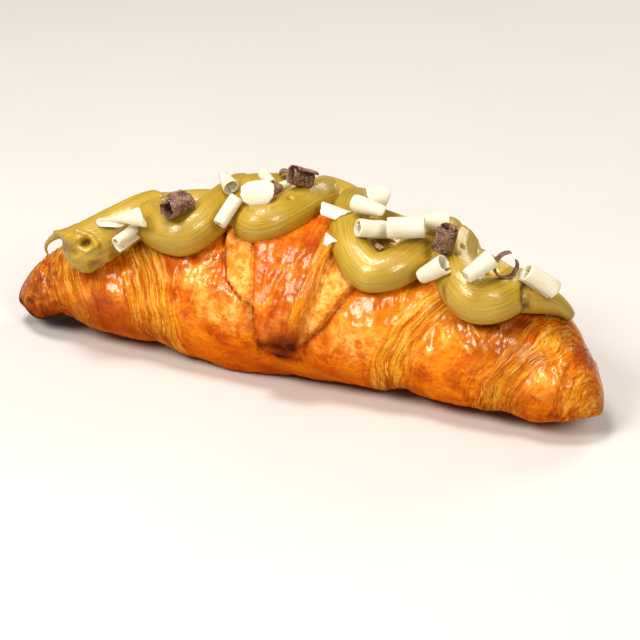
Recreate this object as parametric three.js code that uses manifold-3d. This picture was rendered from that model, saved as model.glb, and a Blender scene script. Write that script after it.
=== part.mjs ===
// Pistachio croissant: a long, nearly straight croissant with pistachio cream piped in loops
// along its ridge, and white and dark chocolate curls lying on the cream.
// Millimetres, +Z up. It rests on z = 0 with its tips on X, and the rolled tip shows on -Y.

import * as THREE from 'three';
import { mergeVertices } from 'three/addons/utils/BufferGeometryUtils.js';
import Module from 'manifold-3d';

const wasm = await Module();
wasm.setup();

// Driving dimensions

const crust = {
  leftEnd: -89.5,
  rightEnd: 90.5,
  middleX: -4,
  halfWidth: 30.2,
  leftTipHalfWidth: 21.5,
  rightTipHalfWidth: 23,
  height: 43.5,
  leftTipHeight: 30,
  rightTipHeight: 33,
  swell: 1.9, // how fast the body narrows from the middle
  tipBlunt: 6, // how round the two tips are
  leftBow: 14, // how far the tips come forward
  rightBow: 17,
  bowPower: 2.6,
  axisShare: 0.42, // height of the roll's axis, as a share of the height
  footShare: 1.12, // depth below the axis, before the base is cut flat
  tipDroop: 0.45, // how far the axis sinks in the two round ends
  sheet: 2.2, // step from one turn of the rolled dough to the next
  flapSheet: 2.4, // the rolled end that lies on top of the turns
  crown: 1, // swelling of each turn between two steps
  footSheets: 1.3, // sheets left at the foot in the middle
  stations: 80,
  spokes: 40,
};

// The edge of the rolled sheet: after so many turns it lies so far left and right of the flap.
const edge = {
  flapX: -1.5,
  turns: [
    0.25, 0.3, 0.312, 0.325, 0.34, 0.38, 0.41, 0.5, 1.0, 1.25,
    1.33, 1.4, 1.5, 2.0, 2.25, 2.4, 2.55, 3.0, 3.3, 3.5, 4.0,
  ],
  left: [3, 5.5, 10.5, 13.4, 15.9, 18.4, 20.3, 24.5, 29.5, 31.5, 35.5, 42, 45.5, 54, 59.5, 66, 69, 74, 77.5, 81, 86],
  right: [7.5, 13.3, 14.5, 15.7, 17, 20, 21.5, 25, 24, 29.5, 34, 41, 47.5, 55, 60.5, 69, 76, 80, 84, 87, 92],
  leftSlope: 12.5, // width of the step that shows the layers
  rightSlope: 9.5,
  sharpSlope: 1.8, // the first step, still a clean edge
  beyond: -20, // under the foot no edge shows
};

// Low bulges on the foot of the crust.
const swells = [
  { x: -76, share: 0.1, height: 1.8, width: 12, around: 0.1 },
  { x: -18, share: 0.1, height: 2.5, width: 13, around: 0.1 },
  { x: 73, share: 0.12, height: 2, width: 15, around: 0.1 },
];

// The rolled end on top: it reaches so far left and right of its middle at each share of a turn.
const flap = {
  shares: [0.22, 0.27, 0.3, 0.35, 0.4, 0.5, 0.8],
  left: [4.8, 4.9, 6.3, 8.2, 10.4, 11.5, 15.5],
  right: [6.6, 8.2, 8.8, 10.4, 11.6, 12.3, 15.5],
  tipShare: 0.215, // where the flap ends, as a share of a turn from the front foot
  backShare: 0.85,
  backRun: 0.1,
  frontRun: 0.03,
  slope: 2,
};

// Each loop of piped cream hangs down the front between two points on the ridge.
// Leans are degrees from upright, towards the front.
const cream = {
  sink: 0.8, // height of a rope's centre over the crust, in radii
  roundness: 1.25,
  sides: 14,
  loopSteps: 20,
  stepLength: 3,
  endShare: 0.6, // a rope's round end: the radius of its last ring and how far the tip stands out
  clearance: 0.3,
  tolerance: 0.03, // how far merging flat facets may move the skin
  loops: [
    { x: -34.5, lean: 36.8, leftReach: 13, rightReach: 9.5, leftLean: 20, rightLean: -4, radius: 6.3 },
    { x: -12.9, lean: 25.3, leftReach: 8.6, rightReach: 11.5, leftLean: -4, rightLean: -16, radius: 6.3 },
    { x: 24.2, lean: 40.3, leftReach: 15.2, rightReach: 13.5, leftLean: -12, rightLean: -6, radius: 5.8 },
    { x: 54.4, lean: 36.5, leftReach: 11, rightReach: 8.8, leftLean: 4, rightLean: 14, radius: 6.8 },
  ],
  legThinning: 0.16, // the legs of a loop are thinner than its front
};

// Straight strokes of cream from one place on the ridge to another.
const strokes = {
  blob: { fromX: -65.5, fromLean: 47.5, toX: -46, toLean: 17, fromRadius: 7.3, toRadius: 5.4, droop: 3 },
  bed: { fromX: -46, fromLean: 12, toX: 62, toLean: 16, fromRadius: 4, toRadius: 4.6, droop: -4 },
  leftTurn: { fromX: -25, fromLean: -4, toX: -5, toLean: -15, fromRadius: 4.8, toRadius: 4.8, droop: -4 },
  middleTurn: { fromX: -3, fromLean: -16, toX: 8, toLean: -6, fromRadius: 5.6, toRadius: 5.6, droop: -3 },
  rightTurn: { fromX: 35, fromLean: -8, toX: 46, toLean: 7, fromRadius: 4.6, toRadius: 4.5, droop: 0 },
  tail: { fromX: 62.5, fromLean: 21, toX: 77.8, toLean: -8, fromRadius: 4.6, toRadius: 1.3, droop: 4 },
};

// The thread of cream that the nozzle pulled off the left end: it arches out and hooks down.
const thread = {
  fromX: -65,
  toX: -76.5,
  lean: 37,
  fromHeight: 10,
  toHeight: 2.5,
  hook: 2.5, // how late along the thread it falls
  fromRadius: 2.4,
  toRadius: 0.8,
  steps: 8,
  sides: 8,
};

const chocolate = {
  wall: 0.6,
  windGap: 0.45, // between one wind of a curl and the next
  clearance: 0.3,
  segmentsPerTurn: 11,
  fewestSegments: 4,
  lowestLift: 3,
  highestLift: 30,
  liftStep: 0.25,
};

// Curls: the place of each on the crust (at: x and lean), where its axis points (aim: turn about
// the upright of that place, tilt out of it), its size (length and radius) and how far it is wound.
// cone opens one end, point narrows the sheet along the wind, roll turns it about its axis,
// and lift is the height over the crust where it starts to settle.
const curls = {
  white_trough: { at: [-53.6, 38.7], aim: [5, 7], size: [9, 2], winds: 0.45, roll: 210, point: 0.2 },
  white_cone: { at: [-47.1, 38.2], aim: [14, 0], size: [9.5, 2.3], winds: 0.8, roll: 30, cone: 1.1 },
  white_roll_left: { at: [-48.7, 43.4], aim: [66, -27], size: [8, 2.2], winds: 1.2, roll: 160, lift: 9 },
  white_roll_upright: { at: [-25.1, 12.7], aim: [134, 4], size: [7, 2.2], winds: 1.15, roll: 40, cone: -0.5 },
  white_roll_steep: { at: [-20.6, 28.7], aim: [72, 17], size: [9, 2.7], winds: 1.1, roll: 200 },
  white_roll_back: { at: [-17.4, -2.3], aim: [137, 14], size: [6, 2.1], winds: 1.1, roll: 70, lift: 6 },
  dark_scroll_top: { at: [-4.2, 5.4], aim: [42, -26], size: [6.6, 3], winds: 1.2, roll: 60 },
  white_shell_wide: { at: [-13.4, 18.9], aim: [21, 2], size: [9, 5], winds: 0.36, roll: 40, point: 0.15 },
  dark_shell: { at: [-13.4, -7.9], aim: [-69, 1], size: [4.2, 2], winds: 0.6, roll: 330, lift: 6 },
  white_strip: { at: [-10.2, 3.1], aim: [60, 0], size: [3, 2], winds: 0.4, roll: 20, lift: 9 },
  dark_chip_back: { at: [-11.1, 10.5], aim: [93, -2], size: [3.6, 1.8], winds: 0.3, roll: 60, lift: 9 },
  white_shard: { at: [8.1, 16.5], aim: [-12, -1], size: [9.8, 4.2], winds: 0.2, roll: 60, point: 0.5 },
  white_flake: { at: [10, 31.9], aim: [-27, 0], size: [4.6, 3], winds: 0.2, roll: 60, point: 0.8 },
  white_cup: { at: [18.1, 4.7], aim: [30, -3], size: [7, 4], winds: 0.75, roll: 300, lift: 6 },
  white_shell_cone: { at: [18.3, 14.4], aim: [-5, -3], size: [10, 2.6], winds: 0.6, roll: 10, cone: -0.3 },
  white_roll_middle: { at: [21.2, 23.5], aim: [31, -24], size: [8.6, 3.2], winds: 1.3, roll: 120 },
  white_roll_thick: { at: [31.7, 22.9], aim: [-165, 1], size: [10.4, 3.4], winds: 1.3, roll: 100 },
  dark_scroll_double: { at: [43.8, 22.3], aim: [-137, -64], size: [7.8, 3.3], winds: 1.3, roll: 0, lift: 8 },
  white_shell_right: { at: [37.9, 11.1], aim: [20, -5], size: [7.6, 3], winds: 0.7, roll: 20, cone: 0.4, lift: 6 },
  white_roll_open: { at: [42.2, 35.5], aim: [-156, -32], size: [8.6, 2.8], winds: 1.2, roll: 120, cone: -0.3 },
  dark_ring: { at: [61.4, 20.4], aim: [-46, 20], size: [2.4, 3.9], winds: 0.85, roll: 60, lift: 6 },
  white_roll_slanted: { at: [55.4, 30.4], aim: [52, 7], size: [8.6, 3.1], winds: 1.3, roll: 60, cone: 0.25 },
  white_roll_right: { at: [70.4, 15], aim: [12, -38], size: [10, 3.3], winds: 1.2, roll: 80 },
  dark_scroll_left: { at: [-35.3, 29.2], aim: [57, -22], size: [9.5, 2.8], winds: 1.15, roll: 150, point: 0.5 },
  dark_chip_front: { at: [24.4, 28.5], aim: [-29, -1], size: [2.6, 1.5], winds: 0.3, roll: 60 },
};

const colours = {
  crust: 0xc8701e,
  cream: 0xb39a3c,
  white: 0xf2ecc8,
  dark: 0x4a3028,
};

const roughness = { crust: 0.35, cream: 0.4, chocolate: 0.6 };

// Small functions

const radians = THREE.MathUtils.degToRad;

function smoothStep(value) {
  return THREE.MathUtils.smoothstep(value, 0, 1);
}

// The value at x on the straight lines through the points (xs, ys).
function between(x, xs, ys) {
  if (x <= xs[0]) return ys[0];
  for (let i = 1; i < xs.length; i++) {
    if (x <= xs[i]) return THREE.MathUtils.mapLinear(x, xs[i - 1], xs[i], ys[i - 1], ys[i]);
  }
  return ys[ys.length - 1];
}

// The crust

// Half width, heights above and below the roll's axis, and the axis itself, at x.
function crossSection(x) {
  const left = x < crust.middleX;
  const reach = left ? crust.middleX - crust.leftEnd : crust.rightEnd - crust.middleX;
  const share = Math.min(Math.abs(x - crust.middleX) / reach, 1);
  const swell = 1 - share ** crust.swell;
  const round = Math.sqrt(1 - share ** crust.tipBlunt);
  const tipWidth = left ? crust.leftTipHalfWidth : crust.rightTipHalfWidth;
  const tipHeight = left ? crust.leftTipHeight : crust.rightTipHeight;
  const height = tipHeight + (crust.height - tipHeight) * swell;
  const axisZ = height * crust.axisShare * (1 - crust.tipDroop * (1 - round));
  const bow = left ? crust.leftBow : crust.rightBow;
  return {
    halfWidth: (tipWidth + (crust.halfWidth - tipWidth) * swell) * round,
    above: height * (1 - crust.axisShare) * round,
    below: height * crust.axisShare * crust.footShare * round,
    axisY: -bow * share ** crust.bowPower,
    axisZ,
    round,
  };
}

// How far the rolled sheets stand out at x, at a share of a turn counted from the foot in
// front over the top to the back: one sheet less beyond every edge, one more under the flap.
function sheetRelief(x, share) {
  const distance = Math.abs(x - edge.flapX);
  const left = x < edge.flapX;
  const edges = left ? edge.left : edge.right;
  const slope = left ? edge.leftSlope : edge.rightSlope;
  let sheets = crust.footSheets - share;
  for (let turn = 0; turn < 4; turn++) {
    const turns = turn + share;
    const start = turns < edge.turns[0] ? edge.beyond : between(turns, edge.turns, edges);
    const width = turn === 0 ? edge.sharpSlope : slope;
    sheets -= smoothStep((distance - start) / width);
    const next = between(turns + 1, edge.turns, edges);
    const along = THREE.MathUtils.clamp((distance - start - width) / (next - start - width), 0, 1);
    sheets += (crust.crown / crust.sheet) * Math.sin(Math.PI * along) * (start < 0 ? 0 : 1);
  }
  return sheets * crust.sheet + flapRelief(distance, left, share);
}

function flapRelief(distance, left, share) {
  const half = between(share, flap.shares, left ? flap.left : flap.right);
  const across = 1 - smoothStep((distance - half) / flap.slope + 0.5);
  const front = smoothStep((share - flap.tipShare) / flap.frontRun + 0.5);
  const behind = 1 - smoothStep((share - flap.backShare) / flap.backRun);
  return crust.flapSheet * across * front * behind;
}

function footRelief(x, share) {
  return swells.reduce((sum, swell) => {
    const along = (x - swell.x) / swell.width;
    const around = (share - swell.share) / swell.around;
    return sum + swell.height * Math.exp(-along * along - around * around);
  }, 0);
}

// The point on the crust at x and a share of a turn, raised by lift.
function crustPoint(x, share, lift = 0) {
  const section = crossSection(x);
  const angle = radians(270 - 360 * share);
  const out = Math.cos(angle) * section.halfWidth;
  const up = Math.sin(angle) * (Math.sin(angle) > 0 ? section.above : section.below);
  const reach = Math.hypot(out, up) + 1e-9;
  const relief = (sheetRelief(x, share) + footRelief(x, share)) * section.round + lift;
  const grow = 1 + relief / reach;
  return new THREE.Vector3(x, section.axisY + out * grow, Math.max(section.axisZ + up * grow, -lift));
}

// A point over the ridge: degrees of lean towards the front, raised by lift.
function ridgePoint(x, lean, lift) {
  const section = crossSection(x);
  const y = section.axisY - (section.halfWidth + lift) * Math.sin(radians(lean));
  return new THREE.Vector3(x, y, section.axisZ + (section.above + lift) * Math.cos(radians(lean)));
}

// A closed skin of rings between two end points.
function ringSkin(first, rings, last) {
  const sides = rings[0].length;
  const points = [first, ...rings.flat(), last];
  const at = (ring, side) => 1 + ring * sides + (side % sides);
  const index = [];
  for (let side = 0; side < sides; side++) {
    index.push(0, at(0, side + 1), at(0, side));
    index.push(points.length - 1, at(rings.length - 1, side), at(rings.length - 1, side + 1));
    for (let ring = 0; ring + 1 < rings.length; ring++) {
      index.push(at(ring, side), at(ring, side + 1), at(ring + 1, side + 1));
      index.push(at(ring, side), at(ring + 1, side + 1), at(ring + 1, side));
    }
  }
  const geometry = new THREE.BufferGeometry().setFromPoints(points);
  geometry.setIndex(index);
  return geometry;
}

// The rolled crust from tip to tip. Stations crowd towards the two round ends.
function crustGeometry(lift = 0) {
  const rings = [];
  for (let station = 1; station < crust.stations; station++) {
    const s = (2 * station) / crust.stations - 1;
    const along = (7 * s - s ** 7) / 6;
    const reach = s < 0 ? crust.middleX - crust.leftEnd : crust.rightEnd - crust.middleX;
    const x = crust.middleX + reach * along;
    const ring = [];
    for (let spoke = 0; spoke < crust.spokes; spoke++) {
      ring.push(crustPoint(x, 1 - spoke / crust.spokes, lift));
    }
    rings.push(ring);
  }
  const leftTip = crustPoint(crust.leftEnd, 0.25).setX(crust.leftEnd - lift);
  const rightTip = crustPoint(crust.rightEnd, 0.25).setX(crust.rightEnd + lift);
  return ringSkin(leftTip, rings, rightTip);
}

// The cream

// A rope of cream along the points, with a radius at each, and round ends.
function ropeGeometry(points, radii, sides) {
  const curve = new THREE.CatmullRomCurve3(points);
  const count = points.length - 1;
  const frames = curve.computeFrenetFrames(count, false);
  const rings = points.map((point, i) => {
    const ring = [];
    for (let side = 0; side < sides; side++) {
      const angle = (2 * Math.PI * side) / sides;
      const spoke = frames.normals[i].clone().multiplyScalar(Math.cos(angle));
      spoke.addScaledVector(frames.binormals[i], Math.sin(angle));
      ring.push(point.clone().addScaledVector(spoke, radii[i]));
    }
    return ring;
  });
  const start = points[0].clone().addScaledVector(frames.tangents[0], -radii[0] * cream.endShare);
  const end = points[count].clone().addScaledVector(frames.tangents[count], radii[count] * cream.endShare);
  return ringSkin(start, rings, end);
}

// A loop that comes over the ridge, hangs down in front and goes back over the ridge.
function loopGeometry(loop) {
  const points = [];
  const radii = [];
  const steps = cream.loopSteps;
  for (let step = 0; step <= steps; step++) {
    const s = (2 * step) / steps - 1;
    const swing = Math.sin((Math.PI / 2) * Math.abs(s)) ** cream.roundness;
    const rise = 1 - Math.cos((Math.PI / 2) * s);
    const reach = s < 0 ? -loop.leftReach : loop.rightReach;
    const top = s < 0 ? loop.leftLean : loop.rightLean;
    const lean = loop.lean + (top - loop.lean) * rise;
    const radius = loop.radius * (1 - cream.legThinning * rise);
    const roundEnd = step === 0 || step === steps ? cream.endShare : 1;
    points.push(ridgePoint(loop.x + reach * swing, lean, cream.sink * radius));
    radii.push(radius * roundEnd);
  }
  return ropeGeometry(points, radii, cream.sides);
}

// A stroke from one place to another, that droops to the front on its way.
function strokeGeometry(stroke, steps) {
  const points = [];
  const radii = [];
  for (let step = 0; step <= steps; step++) {
    const t = step / steps;
    const droop = stroke.droop * Math.sin(Math.PI * t);
    const lean = THREE.MathUtils.lerp(stroke.fromLean, stroke.toLean, t) + droop;
    const radius = THREE.MathUtils.lerp(stroke.fromRadius, stroke.toRadius, t * t);
    const roundEnd = step === 0 || step === steps ? cream.endShare : 1;
    const x = THREE.MathUtils.lerp(stroke.fromX, stroke.toX, t);
    points.push(ridgePoint(x, lean, cream.sink * radius));
    radii.push(radius * roundEnd);
  }
  return ropeGeometry(points, radii, cream.sides);
}

function threadGeometry() {
  const points = [];
  const radii = [];
  for (let step = 0; step <= thread.steps; step++) {
    const t = step / thread.steps;
    const x = THREE.MathUtils.lerp(thread.fromX, thread.toX, Math.sin((Math.PI / 2) * t));
    const height = THREE.MathUtils.lerp(thread.fromHeight, thread.toHeight, t ** thread.hook);
    points.push(ridgePoint(x, thread.lean, height));
    radii.push(THREE.MathUtils.lerp(thread.fromRadius, thread.toRadius, Math.sqrt(t)));
  }
  return ropeGeometry(points, radii, thread.sides);
}

// Solids

function solidOf(geometry) {
  const bare = geometry.clone();
  bare.deleteAttribute('normal');
  bare.deleteAttribute('uv');
  const merged = mergeVertices(bare, 1e-4);
  const mesh = new wasm.Mesh({
    numProp: 3,
    vertProperties: new Float32Array(merged.attributes.position.array),
    triVerts: new Uint32Array(merged.index.array),
  });
  return new wasm.Manifold(mesh);
}

function geometryOf(solid) {
  const mesh = solid.getMesh();
  const geometry = new THREE.BufferGeometry();
  geometry.setAttribute('position', new THREE.BufferAttribute(new Float32Array(mesh.vertProperties), 3));
  geometry.setIndex(new THREE.BufferAttribute(new Uint32Array(mesh.triVerts), 1));
  geometry.computeVertexNormals();
  return geometry;
}

function largestPiece(solid) {
  const pieces = solid.decompose();
  return pieces.reduce((best, piece) => (piece.volume() > best.volume() ? piece : best));
}

// All the piped cream, cut to lie on the crust.
function creamSolid() {
  const ropes = cream.loops.map(loopGeometry);
  for (const stroke of Object.values(strokes)) {
    const steps = Math.ceil(Math.abs(stroke.toX - stroke.fromX) / cream.stepLength);
    ropes.push(strokeGeometry(stroke, steps));
  }
  ropes.push(threadGeometry());
  const joined = ropes.map(solidOf).reduce((all, rope) => all.add(rope));
  const cut = joined.subtract(solidOf(crustGeometry(cream.clearance)));
  return largestPiece(cut).simplify(cream.tolerance);
}

// The chocolate

// A sheet wound about its own X axis, thin and closed all round.
function curlGeometry(curl) {
  const { winds, cone = 0, point = 0 } = curl;
  const [length, radius] = curl.size;
  const segments = Math.max(chocolate.fewestSegments, Math.round(winds * chocolate.segmentsPerTurn));
  const spacing = chocolate.wall + chocolate.windGap;
  const points = [];
  for (let i = 0; i <= segments; i++) {
    const share = i / segments;
    const angle = radians(curl.roll) + 2 * Math.PI * winds * share;
    for (const end of [-0.5, 0.5]) {
      const along = end * length * (1 - point * share);
      const outer = radius * (1 + cone * (along / length)) - spacing * winds * share;
      for (const r of [outer, outer - chocolate.wall]) {
        points.push(new THREE.Vector3(along, r * Math.cos(angle), r * Math.sin(angle)));
      }
    }
  }
  const index = [];
  const quad = (a, b, c, d) => index.push(a, b, c, a, c, d);
  for (let i = 0; i < segments; i++) {
    const [a, b, c, d] = [0, 1, 2, 3].map((k) => 4 * i + k);
    const [e, f, g, h] = [4, 5, 6, 7].map((k) => 4 * i + k);
    quad(a, e, g, c);
    quad(b, d, h, f);
    quad(a, b, f, e);
    quad(c, g, h, d);
  }
  const last = 4 * segments;
  quad(0, 2, 3, 1);
  quad(last, last + 1, last + 3, last + 2);
  const geometry = new THREE.BufferGeometry().setFromPoints(points);
  geometry.setIndex(index);
  return geometry;
}

// Upright of the crust at a lean, and the direction of the curl's axis there.
function curlFrame(curl) {
  const lean = radians(curl.at[1]);
  const [turn, tilt] = curl.aim.map(radians);
  const upright = new THREE.Vector3(0, -Math.sin(lean), Math.cos(lean));
  const along = new THREE.Vector3(1, 0, 0).applyAxisAngle(upright, turn);
  const axis = along.multiplyScalar(Math.cos(tilt)).addScaledVector(upright, Math.sin(tilt));
  const side = new THREE.Vector3().crossVectors(upright, axis).normalize();
  const top = new THREE.Vector3().crossVectors(axis, side);
  return { upright, basis: new THREE.Matrix4().makeBasis(axis, side, top) };
}

// Lifts the curl off the crust along the upright until nothing is within the clearance.
function settle(mesh, curl, obstacles) {
  const { upright, basis } = curlFrame(curl);
  const solid = solidOf(mesh.geometry);
  mesh.quaternion.setFromRotationMatrix(basis);
  const placedAt = (lift) => {
    mesh.position.copy(ridgePoint(...curl.at, 0)).addScaledVector(upright, lift);
    mesh.updateMatrix();
    return solid.transform(mesh.matrix.elements);
  };
  const gap = chocolate.clearance;
  let lift = curl.lift ?? chocolate.lowestLift;
  for (; lift < chocolate.highestLift; lift += chocolate.liftStep) {
    const places = [lift - gap, lift, lift + gap].map(placedAt);
    if (obstacles.every((obstacle) => places.every((place) => obstacle.intersect(place).isEmpty()))) break;
  }
  obstacles.push(placedAt(lift));
}

// The croissant

function namedMesh(name, geometry, color, rough) {
  const material = new THREE.MeshStandardMaterial({ color, roughness: rough, metalness: 0 });
  const mesh = new THREE.Mesh(geometry, material);
  mesh.name = name;
  return mesh;
}

const croissant = new THREE.Group();
const crustShape = crustGeometry();
const creamShape = creamSolid();
croissant.add(namedMesh('crust', crustShape, colours.crust, roughness.crust));
croissant.add(namedMesh('cream', geometryOf(creamShape), colours.cream, roughness.cream));

const obstacles = [solidOf(crustShape), creamShape];
for (const [name, curl] of Object.entries(curls)) {
  const colour = name.startsWith('white') ? colours.white : colours.dark;
  const mesh = namedMesh(name, curlGeometry(curl), colour, roughness.chocolate);
  settle(mesh, curl, obstacles);
  croissant.add(mesh);
}

export default croissant;
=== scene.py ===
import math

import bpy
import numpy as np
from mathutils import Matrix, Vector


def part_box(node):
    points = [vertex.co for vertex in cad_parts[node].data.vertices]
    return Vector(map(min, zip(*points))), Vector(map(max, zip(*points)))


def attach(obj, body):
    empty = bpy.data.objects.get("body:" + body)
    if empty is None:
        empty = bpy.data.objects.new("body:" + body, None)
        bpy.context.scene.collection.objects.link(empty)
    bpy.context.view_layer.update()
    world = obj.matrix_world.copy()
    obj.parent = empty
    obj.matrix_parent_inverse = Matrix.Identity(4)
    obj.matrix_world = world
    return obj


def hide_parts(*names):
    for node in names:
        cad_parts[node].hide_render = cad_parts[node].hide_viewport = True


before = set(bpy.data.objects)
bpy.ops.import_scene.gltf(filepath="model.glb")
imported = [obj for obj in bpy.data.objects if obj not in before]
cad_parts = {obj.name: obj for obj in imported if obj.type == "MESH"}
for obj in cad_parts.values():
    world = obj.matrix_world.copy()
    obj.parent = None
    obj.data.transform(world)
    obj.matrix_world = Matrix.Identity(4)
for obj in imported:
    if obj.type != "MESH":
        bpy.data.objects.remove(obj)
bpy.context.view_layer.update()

# Pistachio croissant: a rolled egg-washed crust, pistachio cream piped in loops along its ridge
# and chocolate curls on the cream. The tips lie along X, the rolled tip shows on -Y.
# Shapes are worked out in millimetres and put into the meshes in metres.

scene = bpy.context.scene
mm = 0.001

# Small helpers


# 0 below 0, 1 above 1, and 3v^2 - 2v^3 between
def smooth(value):
    value = np.clip(value, 0, 1)
    return value * value * (3 - 2 * value)


# 1 at the middle, falling to either side as exp(-(value / width)^2)
def hump(value, width):
    return np.exp(-((value / width) ** 2))


# From the first to the second of a pair, evenly with t
def mixed(pair, t):
    return pair[0] + (pair[1] - pair[0]) * t


# Random values from -1 to 1: each cell has eight seeded corner values, mixed by smoothed shares
def softNoise(points, cell, seed):
    side = 32
    table = np.random.RandomState(seed).uniform(-1, 1, (side, side, side))
    spot = np.asarray(points, float) / cell
    low = np.floor(spot).astype(int)
    share = smooth(spot - low)
    total = np.zeros(spot.shape[:-1])
    for corner in np.ndindex(2, 2, 2):
        weight = np.prod(np.where(np.array(corner) > 0, share, 1 - share), axis=-1)
        place = (low + corner) % side
        total += weight * table[place[..., 0], place[..., 1], place[..., 2]]
    return total


# The same noise in a stretched space: one size for each of the three coordinates
def stretchedNoise(a, b, c, sizes, seed):
    return softNoise(np.stack([a / sizes[0], b / sizes[1], c / sizes[2]], axis=-1), 1, seed)


# 1 on a line through some places, falling as a hump with the distance from it
def nearLine(points, line, width):
    gap = np.full(points.shape[:-1], np.inf)
    for start, end in zip(np.array(line[:-1]), np.array(line[1:])):
        run = end - start
        along = np.clip((points - start) @ run / (run @ run), 0, 1)
        gap = np.minimum(gap, np.linalg.norm(points - start - along[..., None] * run, axis=-1))
    return hump(gap, width)


# A mesh object from points in millimetres and lists of faces
def makeObject(name, points, faces):
    mesh = bpy.data.meshes.new(name)
    mesh.from_pydata((points * mm).tolist(), [], faces)
    mesh.validate()
    mesh.shade_smooth()
    made = bpy.data.objects.new(name, mesh)
    scene.collection.objects.link(made)
    return made


# Faces of a grid of rows x columns points, wrapped round the columns if closed
def gridFaces(rows, columns, closed=False):
    index = np.arange(rows * columns).reshape(rows, columns)
    if closed:
        index = np.concatenate([index, index[:, :1]], axis=1)
    corners = [index[:-1, :-1], index[:-1, 1:], index[1:, 1:], index[1:, :-1]]
    return np.stack([corner.ravel() for corner in corners], axis=1)


# A closed skin of rings (rows x columns x 3) between a first and a last point
def ringSkin(name, first, rings, last):
    rows, columns = rings.shape[:2]
    points = np.concatenate([rings.reshape(-1, 3), [first], [last]])
    ring = np.arange(columns)
    after = np.roll(ring, -1)
    end = (rows - 1) * columns
    firstFan = np.stack([after, ring, np.full(columns, rows * columns)], axis=1)
    lastFan = np.stack([end + ring, end + after, np.full(columns, rows * columns + 1)], axis=1)
    faces = gridFaces(rows, columns, closed=True).tolist() + firstFan.tolist() + lastFan.tolist()
    return makeObject(name, points, faces)


# A closed thin sheet: a grid of points moved half its thickness to both sides, with a rim between
def sheetSkin(name, grid, normals, thickness):
    rows, columns = grid.shape[:2]
    half = normals * thickness[..., None] / 2
    points = np.concatenate([(grid + half).reshape(-1, 3), (grid - half).reshape(-1, 3)])
    front = gridFaces(rows, columns)
    back = front[:, ::-1] + rows * columns
    index = np.arange(rows * columns).reshape(rows, columns)
    border = np.concatenate([index[0, :-1], index[:-1, -1], index[-1, :0:-1], index[:0:-1, 0]])
    after = np.roll(border, -1)
    rim = np.stack([after, border, border + rows * columns, after + rows * columns], axis=1)
    return makeObject(name, points, np.concatenate([front, back, rim]).tolist())


# Numbers or vectors, one for each point, that a material reads
def addAttribute(piece, name, values):
    kind = "FLOAT_VECTOR" if np.ndim(values) == 2 else "FLOAT"
    field = "vector" if kind == "FLOAT_VECTOR" else "value"
    layer = piece.data.attributes.new(name, kind, "POINT")
    layer.data.foreach_set(field, np.asarray(values, np.float32).ravel())


# Gives a piece its material and its body, and hides the node that it dresses
def finishPiece(piece, node, material):
    piece.data.materials.clear()
    piece.data.materials.append(material)
    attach(piece, "root")
    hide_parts(node)


# Materials


# Hex sRGB made linear: p / 12.92 near black, ((p + 0.055) / 1.055)^2.4 above
def linear(code):
    parts = [int(code[i:i + 2], 16) / 255 for i in (1, 3, 5)]
    return tuple(p / 12.92 if p <= 0.04045 else ((p + 0.055) / 1.055) ** 2.4 for p in parts) + (1,)


# A texture scale that gives features of this many millimetres
def perSize(size):
    return 1000 / size


# Adds a node: settings by name, inputs by name or place, linked where they are sockets
def addNode(tree, kind, inputs=None, **settings):
    made = tree.nodes.new("ShaderNode" + kind)
    for name, value in settings.items():
        setattr(made, name, value)
    for name, value in (inputs or {}).items():
        if isinstance(value, bpy.types.NodeSocket):
            tree.links.new(value, made.inputs[name])
        else:
            made.inputs[name].default_value = value
    return made.outputs


# An empty material, its nodes and the object's own coordinates
def newMaterial(name):
    made = bpy.data.materials.new(name)
    made.use_nodes = True
    tree = made.node_tree
    tree.nodes.clear()
    return made, tree, addNode(tree, "TexCoord")["Object"]


def addSurface(tree, inputs):
    shader = addNode(tree, "BsdfPrincipled", inputs)[0]
    addNode(tree, "OutputMaterial", {"Surface": shader})


# What a mesh carries at its points
def stored(tree, name, kind="Fac"):
    return addNode(tree, "Attribute", attribute_name=name)[kind]


# One step of arithmetic with sockets or numbers
def reckoned(tree, operation, *values):
    return addNode(tree, "Math", dict(enumerate(values)), operation=operation)[0]


# A part of the source's range stretched to 0 to top
def stretched(tree, source, low, high, top=1.0):
    return addNode(tree, "MapRange", {0: source, 1: low, 2: high, 4: top})[0]


# Noise with features of this many millimetres
def noisy(tree, place, size, **inputs):
    return addNode(tree, "TexNoise", {"Vector": place, "Scale": perSize(size), **inputs})[0]


# Noise over coordinates in mm that is drawn out: one size for the first, one for the second
def drawnOut(tree, vector, first, second, **inputs):
    scale = (1 / first, 1 / second, 1.0)
    scaled = addNode(tree, "VectorMath", {0: vector, 1: scale}, operation="MULTIPLY")[0]
    return addNode(tree, "TexNoise", {"Vector": scaled, "Scale": 1.0, **inputs})[0]


# A bump of so many millimetres, laid over another
def bumped(tree, height, strength, distance, under=None):
    inputs = {"Height": height, "Strength": strength, "Distance": distance * mm}
    if under:
        inputs["Normal"] = under
    return addNode(tree, "Bump", inputs)[0]


# Lays colours over one another, each where its mask is: hex codes, or what other layers gave
def layered(tree, base, layers):
    def paint(given):
        return linear(given) if isinstance(given, str) else given

    colour = paint(base)
    for mask, upper in layers:
        colour = addNode(tree, "Mix", {0: mask, 6: colour, 7: paint(upper)}, data_type="RGBA")[2]
    return colour
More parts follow.
